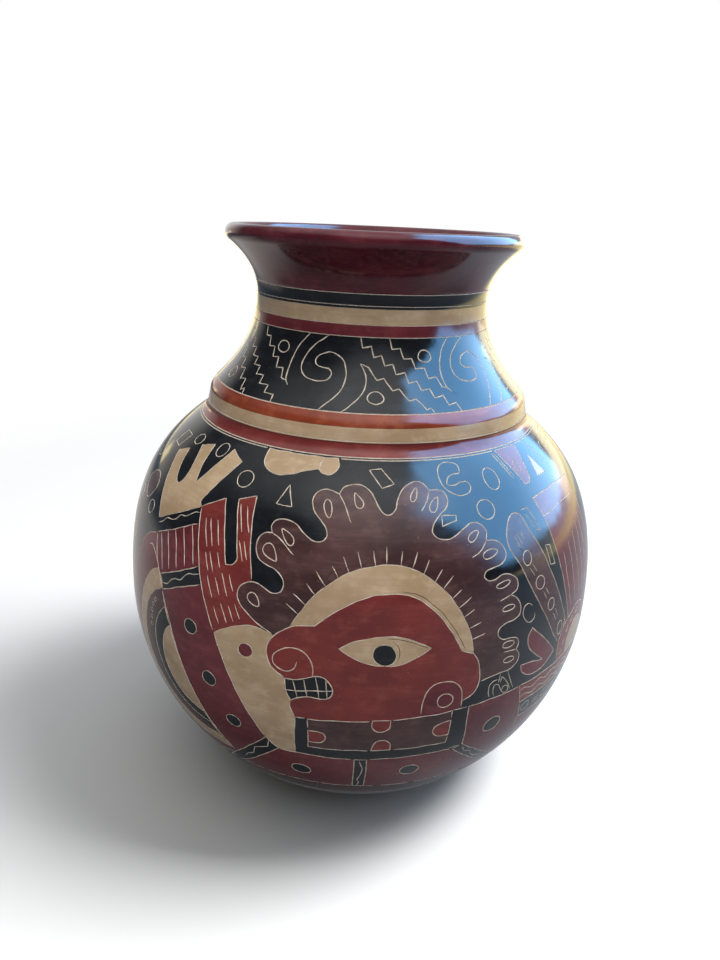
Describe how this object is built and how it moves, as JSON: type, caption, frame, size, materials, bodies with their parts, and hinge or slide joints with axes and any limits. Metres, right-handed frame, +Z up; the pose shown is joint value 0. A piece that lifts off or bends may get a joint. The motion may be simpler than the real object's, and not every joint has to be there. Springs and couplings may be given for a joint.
{
  "type": "carved pottery vase",
  "caption": "Round-bellied pottery vase with a raised shoulder collar, a waisted neck and a flared rounded rim, carved and burnished in coloured slips; stands on a flat foot and holds stems.",
  "frame": {"origin": "centre of the flat foot, on the surface the vase stands on", "axes": "+Z up along the vase's axis of turning; the carved figure faces -Y"},
  "size_m": [0.25, 0.25, 0.2911],
  "materials": {
    "base_slab": "bare brown clay, worn",
    "lower_belly": "burnished black slip with carved red, cream and brown areas",
    "upper_belly": "burnished black slip with carved red, cream and brown areas",
    "shoulder_ring": "burnished cream and orange slip",
    "neck": "burnished black slip with carved scrolls and colour bands",
    "flared_rim": "burnished oxblood slip"
  },
  "bodies": {
    "root": {"base_slab": "base_slab", "lower_belly": "lower_belly", "upper_belly": "upper_belly", "shoulder_ring": "shoulder_ring", "neck": "neck", "flared_rim": "flared_rim"}
  },
  "joints": []
}
